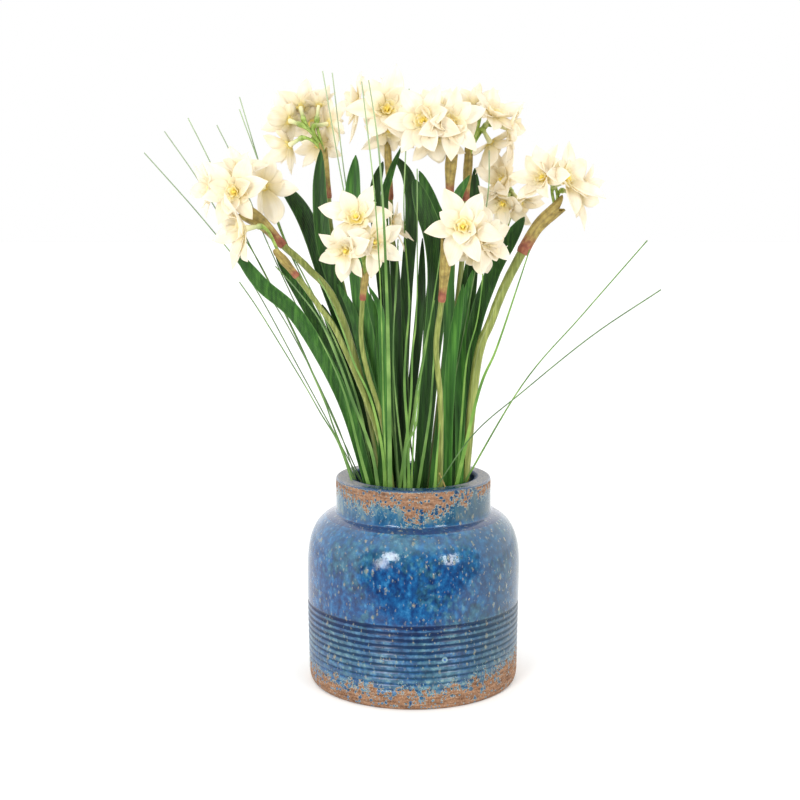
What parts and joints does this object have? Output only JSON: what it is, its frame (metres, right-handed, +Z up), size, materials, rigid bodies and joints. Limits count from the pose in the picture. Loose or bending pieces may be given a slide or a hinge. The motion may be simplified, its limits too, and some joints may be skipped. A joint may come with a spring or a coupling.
{
  "type": "potted paperwhite narcissus",
  "caption": "Double paperwhite narcissus with cream umbels, strap leaves and fine grass, in a squat blue-glazed stoneware jar with turned grooves.",
  "frame": {"origin": "centre of the jar's flat base, on the surface that it stands on", "axes": "+Z up along the jar's axis, -Y towards the viewer, +X to the viewer's right"},
  "size_m": [0.3224, 0.1413, 0.395],
  "materials": {
    "jar_glaze": "glossy mottled blue glaze, bare rough clay at collar and foot",
    "potting_mix": "dull crumbly peat and bark mix",
    "moss": "matt fibrous moss",
    "flower_stem": "satin waxy olive green, finely ribbed",
    "sheath": "matt papery brown, ribbed, reddish at the joint",
    "petal": "matt soft cream petals, yellow at the cup",
    "strap_leaf": "satin dark green with lengthwise veins",
    "grass_blade": "satin light green"
  },
  "bodies": {
    "root": {"jar": "jar_glaze", "potting_mix": "potting_mix", "moss_mat": "moss", "flower_stem_01": "flower_stem", "flower_stem_02": "flower_stem", "flower_stem_03": "flower_stem", "flower_stem_04": "flower_stem", "flower_stem_05": "flower_stem", "flower_stem_06": "flower_stem", "flower_stem_07": "flower_stem", "flower_stem_08": "flower_stem", "flower_stem_09": "flower_stem", "flower_stem_10": "flower_stem", "spathe_01": "sheath", "spathe_02": "sheath", "spathe_03": "sheath", "spathe_04": "sheath", "spathe_05": "sheath", "spathe_06": "sheath", "spathe_07": "sheath", "spathe_08": "sheath", "spathe_09": "sheath", "spathe_10": "sheath", "umbel_01": "petal", "umbel_02": "petal", "umbel_03": "petal", "umbel_04": "petal", "umbel_05": "petal", "umbel_06": "petal", "umbel_07": "petal", "umbel_08": "petal", "umbel_09": "petal", "umbel_10": "petal", "leaf_01": "strap_leaf", "leaf_02": "strap_leaf", "leaf_03": "strap_leaf", "leaf_04": "strap_leaf", "leaf_05": "strap_leaf", "leaf_06": "strap_leaf", "leaf_07": "strap_leaf", "leaf_08": "strap_leaf", "leaf_09": "strap_leaf", "leaf_10": "strap_leaf", "leaf_11": "strap_leaf", "leaf_12": "strap_leaf", "leaf_13": "strap_leaf", "leaf_14": "strap_leaf", "leaf_15": "strap_leaf", "grass_01": "grass_blade", "grass_02": "grass_blade", "grass_03": "grass_blade", "grass_04": "grass_blade", "grass_05": "grass_blade", "grass_06": "grass_blade", "grass_07": "grass_blade", "grass_08": "grass_blade", "grass_09": "grass_blade", "grass_10": "grass_blade", "grass_11": "grass_blade", "grass_12": "grass_blade"}
  },
  "joints": []
}
